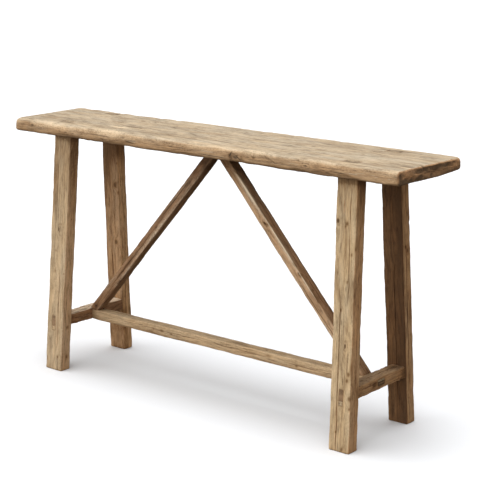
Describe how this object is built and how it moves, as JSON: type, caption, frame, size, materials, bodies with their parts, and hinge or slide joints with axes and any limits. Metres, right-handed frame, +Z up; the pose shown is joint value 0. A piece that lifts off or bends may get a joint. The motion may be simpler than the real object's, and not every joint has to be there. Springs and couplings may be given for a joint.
{
  "type": "console table",
  "caption": "Long narrow console table in reclaimed wood: a plank top on splayed wedged legs, with end stretchers, a long stretcher and slanting braces.",
  "frame": {"origin": "on the floor, under the middle of the table", "axes": "+Z up, +X along the length towards the right end, +Y towards the back"},
  "size_m": [1.4606, 0.3396, 0.8001],
  "materials": {
    "plank_wood": "weathered, pale grey-beige top with tan edges and dark end grain",
    "leg_wood": "weathered, worn brown with paler arrises",
    "stretcher_wood": "weathered, worn pale on top",
    "wedge_wood": "dark, end grain outwards",
    "nail_iron": "rusted dark brown"
  },
  "bodies": {
    "root": {"table_top": "plank_wood", "front_left_leg": "leg_wood", "back_left_leg": "leg_wood", "front_right_leg": "leg_wood", "back_right_leg": "leg_wood", "left_side_stretcher": "leg_wood", "right_side_stretcher": "leg_wood", "long_stretcher": "stretcher_wood", "left_brace": "leg_wood", "right_brace": "leg_wood", "front_left_leg_wedge": "wedge_wood", "back_left_leg_wedge": "wedge_wood", "front_right_leg_wedge": "wedge_wood", "back_right_leg_wedge": "wedge_wood", "front_left_stretcher_wedge": "wedge_wood", "back_left_stretcher_wedge": "wedge_wood", "front_right_stretcher_wedge": "wedge_wood", "back_right_stretcher_wedge": "wedge_wood", "long_stretcher_left_wedge": "wedge_wood", "long_stretcher_right_wedge": "wedge_wood", "left_foot_nail_front": "nail_iron", "left_foot_nail_back": "nail_iron", "right_foot_nail_front": "nail_iron", "right_foot_nail_back": "nail_iron", "left_head_nail_front": "nail_iron", "left_head_nail_back": "nail_iron", "right_head_nail_front": "nail_iron", "right_head_nail_back": "nail_iron"}
  },
  "joints": []
}
